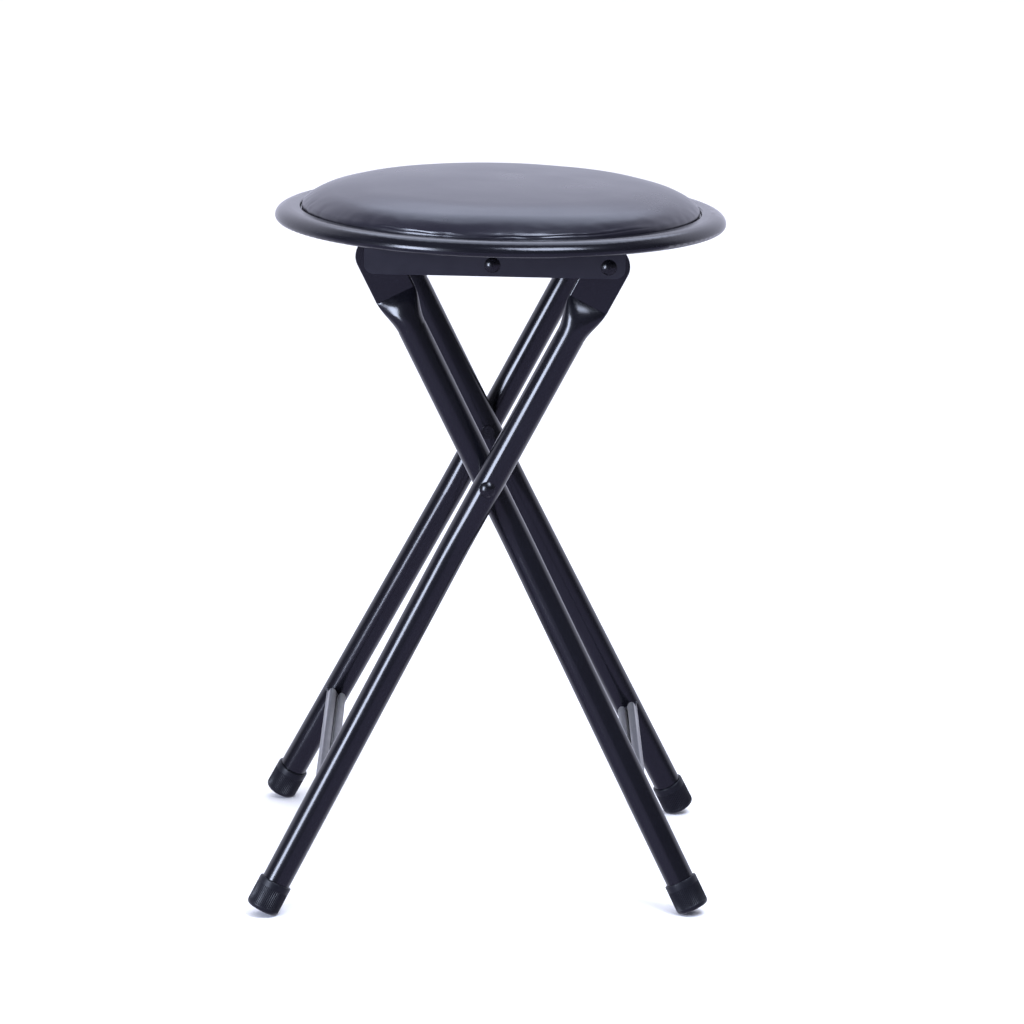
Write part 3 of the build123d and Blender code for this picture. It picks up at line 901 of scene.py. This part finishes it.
class STOOL_OT_crossbars(bpy.types.Operator):
    """Press the two ribbed crossbars and weld them to the legs"""

    bl_idname = "stool.crossbars"
    bl_label = "Crossbars"

    def execute(self, context):
        settings = context.scene.stool_crossbars
        powder = bpy.data.materials["satin_black_powder_coat"]
        for name, (body, lean_side, plane, _) in LEG_FRAMES.items():
            reach = (LEG_CROSSING.z - settings.height) / math.cos(LEG_LEAN)
            ends = [leg_point(lean_side, side, plane, reach) for side in (FRONT, REAR)]
            half = (ends[1] - ends[0]).length / 2
            slope = Matrix.Rotation(lean_side * LEG_LEAN, 4, "Y")
            place = Matrix.Translation((ends[0] + ends[1]) / 2) @ slope
            bar = self.press(settings, half, name + "_pressed_crossbar")
            settle(bar, place)
            for side in (FRONT, REAR):
                self.notch(bar, name, side)
            smooth(bar, angle=40)
            dress(bar, body, powder)
            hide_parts(name + "_crossbar")
            for side, word in ((FRONT, "front"), (REAR, "rear")):
                bead = self.weld(settings, half, side, f"{name}_crossbar_weld_{word}")
                settle(bead, place)
                smooth(bead, angle=60)
                dress(bead, body, powder)
        return {"FINISHED"}

    def rib(self, settings, half, width, height, name):
        """A long rib with tapered ends: a disc pulled out, raised, drawn in and softened on top."""
        piece = new_piece(
            bpy.ops.mesh.primitive_circle_add, name, vertices=24, radius=width / 2, fill_type="NGON"
        )
        tip = settings.rib_tip
        stretch = half - TUBE_RADIUS - settings.rib_stop - tip
        bpy.ops.object.mode_set(mode="EDIT")
        bpy.ops.transform.resize(value=(1, 2 * tip / width, 1), center_override=(0, 0, 0))
        for side in (FRONT, REAR):
            pick(piece, "verts", lambda vertex, side=side: vertex.co.y * side > SAME_PLACE)
            bpy.ops.transform.translate(value=(0, side * stretch, 0))
        bpy.ops.mesh.select_all(action="SELECT")
        bpy.ops.mesh.extrude_region_move(TRANSFORM_OT_translate={"value": (0, 0, height)})
        narrow = 1 - 2 * settings.rib_taper / width
        slide = 1 - settings.rib_taper / (stretch + tip)
        bpy.ops.transform.resize(value=(narrow, slide, 1), center_override=(0, 0, height))
        tidy_normals()
        pick(piece, "edges", lambda edge: all(v.co.z > height / 2 for v in edge.verts))
        bpy.ops.mesh.bevel(offset=RIB_ROUND, segments=3, affect="EDGES")
        bpy.ops.object.mode_set(mode="OBJECT")
        return piece

    def press(self, settings, half, name):
        """A flat strip with two hollow ribs pressed up out of it."""
        strip = new_piece(bpy.ops.mesh.primitive_cube_add, name, size=1)
        strip.scale = (settings.width, 2 * half, settings.sheet)
        strip.location.z = (settings.sheet - settings.depth) / 2
        bpy.ops.object.transform_apply(location=True, scale=True)
        apply_modifier(strip, "edges", "BEVEL", width=STRIP_ROUND, segments=3)
        across = (settings.width - settings.rib_width) / 2 - RIB_INSET
        rise = settings.depth - settings.sheet
        hollow = settings.rib_width - 2 * settings.sheet
        base = settings.sheet - settings.depth / 2
        for x in (-across, across):
            rib = self.rib(settings, half, settings.rib_width, rise + RIB_SINK, "rib")
            settle(rib, Matrix.Translation((x, 0, base - RIB_SINK)))
            combine(strip, "rib", "UNION", rib)
            core = self.rib(settings, half - settings.sheet, hollow, rise, "core")
            settle(core, Matrix.Translation((x, 0, base - settings.sheet - HOLLOW_SINK)))
            combine(strip, "core", "DIFFERENCE", core)
        return strip

    def notch(self, bar, name, side):
        """Fits an end of the strip round its leg."""
        foot, up = lower_leg(name, side)
        tube = new_piece(
            bpy.ops.mesh.primitive_cylinder_add, "tube",
            vertices=64, radius=TUBE_RADIUS - NOTCH_BITE, depth=1,
        )
        settle(tube, along(foot, up))
        combine(bar, "notch", "DIFFERENCE", tube)

    def weld(self, settings, half, side, name):
        """A short weld bead of overlapping lumps along the end of the strip."""
        lumps = []
        for k in range(BEAD_LUMPS):
            share = 2 * k / (BEAD_LUMPS - 1) - 1
            across = share * settings.width / 2
            back = math.sqrt(TUBE_RADIUS ** 2 - across ** 2)
            size = settings.bead * between(BEAD_SHARES, noise.cell(Vector((k, side + 2.5, 1.5))))
            lump = new_piece(
                bpy.ops.mesh.primitive_ico_sphere_add, "lump", subdivisions=3, radius=size,
                location=(across, side * (half - back), settings.sheet - settings.depth / 2),
            )
            lumps.append(lump)
        only(lumps[0])
        for lump in lumps:
            lump.select_set(True)
        bpy.ops.object.join()
        bead = bpy.context.object
        bead.name = bead.data.name = name
        bpy.ops.object.transform_apply(location=True, rotation=True, scale=True)
        bead.data.remesh_voxel_size = BEAD_VOXEL
        bpy.ops.object.voxel_remesh()
        apply_modifier(bead, "run", "SMOOTH", factor=0.5, iterations=3)
        return bead


class STOOL_OT_stage(bpy.types.Operator):
    """Set the floor, the studio lights and the camera"""

    bl_idname = "stool.stage"
    bl_label = "Stage"

    def execute(self, context):
        settings = context.scene.stool_stage
        self.lay_floor(settings)
        self.hang_daylight(context, settings)
        for name, (power, place, size) in SOFT_LIGHTS.items():
            self.softbox(context, settings, name, getattr(settings, power), place, size)
        self.paint_room(context, settings)
        self.place_camera(context, settings)
        context.scene.view_settings.view_transform = "Standard"
        return {"FINISHED"}

    def lay_floor(self, settings):
        """A wide floor under the feet, which shiny paint doesn't mirror."""
        floor = new_piece(bpy.ops.mesh.primitive_plane_add, "studio_floor", size=settings.floor_size)
        floor.data.materials.append(studio_floor())
        floor.visible_glossy = False

    def hang_daylight(self, context, settings):
        """Wide even light from above, which shiny paint doesn't mirror."""
        bpy.ops.object.light_add(type="SUN")
        overhead = context.object
        overhead.name = overhead.data.name = "overhead"
        overhead.data.energy = settings.daylight
        overhead.data.angle = settings.daylight_angle
        overhead.visible_glossy = False

    def softbox(self, context, settings, name, power, place, size):
        """A soft rectangular light that faces the stool."""
        bpy.ops.object.light_add(type="AREA", location=place)
        lamp = context.object
        lamp.name = lamp.data.name = name
        lamp.data.shape = "RECTANGLE"
        lamp.data.size, lamp.data.size_y = size
        lamp.data.energy = power
        lamp.data.color = linear(settings.lamp)[:3]
        aim = LIGHT_AIM - Vector(place)
        lamp.rotation_euler = aim.to_track_quat("-Z", "Y").to_euler()

    def paint_room(self, context, settings):
        """A room that glows behind and low in front, with a pale backdrop for the camera alone."""
        world = bpy.data.worlds.new("studio")
        world.use_nodes = True
        context.scene.world = world
        tree = world.node_tree
        tree.nodes.clear()
        place = add_node(tree, "ShaderNodeTexCoord").outputs["Generated"]
        direction = add_node(tree, "ShaderNodeSeparateXYZ", {"Vector": place})
        glow = {}
        for name, (axis, start, end) in ROOM_PARTS.items():
            inputs = {"Value": direction.outputs[axis], "From Min": start, "From Max": end}
            ramp = add_node(tree, "ShaderNodeMapRange", inputs, interpolation_type="SMOOTHSTEP")
            glow[name] = ramp.outputs["Result"]
        wall = add_node(tree, "ShaderNodeMath", {0: glow["behind"], 1: glow["low"]}, operation="MULTIPLY")
        front = tone(tree, glow["below"], settings.front_room, settings.front_floor)
        room = mix(tree, wall.outputs["Value"], front, linear(settings.back_wall))
        seen = add_node(tree, "ShaderNodeLightPath").outputs["Is Camera Ray"]
        view = mix(tree, seen, room, linear(settings.backdrop))
        sky = add_node(tree, "ShaderNodeBackground", {"Color": view, "Strength": settings.room_light})
        add_node(tree, "ShaderNodeOutputWorld", {"Surface": sky.outputs["Background"]})

    def place_camera(self, context, settings):
        """The camera at its place, turned, tilted and rolled."""
        data = bpy.data.cameras.new("photographer")
        camera = bpy.data.objects.new("photographer", data)
        context.collection.objects.link(camera)
        data.sensor_width = SENSOR_WIDTH
        data.lens = settings.lens
        turn = Matrix.Rotation(-settings.camera_yaw, 4, "Z")
        tilt = Matrix.Rotation(math.pi / 2 - settings.camera_pitch, 4, "X")
        roll = Matrix.Rotation(settings.camera_roll, 4, "Z")
        camera.matrix_world = Matrix.Translation(settings.camera_place) @ turn @ tilt @ roll
        context.scene.camera = camera


class STOOL_PT_panel(bpy.types.Panel):
    """The stool's steps in order, and their settings"""

    bl_idname = "STOOL_PT_panel"
    bl_label = "Padded folding stool"
    bl_space_type = "VIEW_3D"
    bl_region_type = "UI"
    bl_category = "Stool"

    def draw(self, context):
        for operator in OPERATORS:
            self.layout.operator(operator.bl_idname)
        for name, group in SETTINGS.items():
            box = self.layout.box()
            for key in group.__annotations__:
                box.prop(getattr(context.scene, name), key)


OPERATORS = (STOOL_OT_finishes, STOOL_OT_cushion, STOOL_OT_foot_caps, STOOL_OT_crossbars, STOOL_OT_stage)
CLASSES = (*SETTINGS.values(), *OPERATORS, STOOL_PT_panel)


def register():
    """Adds the classes, and their settings to the scene."""
    for item in CLASSES:
        bpy.utils.register_class(item)
    for name, group in SETTINGS.items():
        setattr(bpy.types.Scene, name, bpy.props.PointerProperty(type=group))


def unregister():
    """Takes the settings and the classes away again."""
    for name in SETTINGS:
        delattr(bpy.types.Scene, name)
    for item in reversed(CLASSES):
        bpy.utils.unregister_class(item)


def main():
    """Runs the steps in order."""
    register()
    bpy.ops.stool.finishes()
    bpy.ops.stool.cushion()
    bpy.ops.stool.foot_caps()
    bpy.ops.stool.crossbars()
    bpy.ops.stool.stage()


if __name__ == "__main__":
    main()
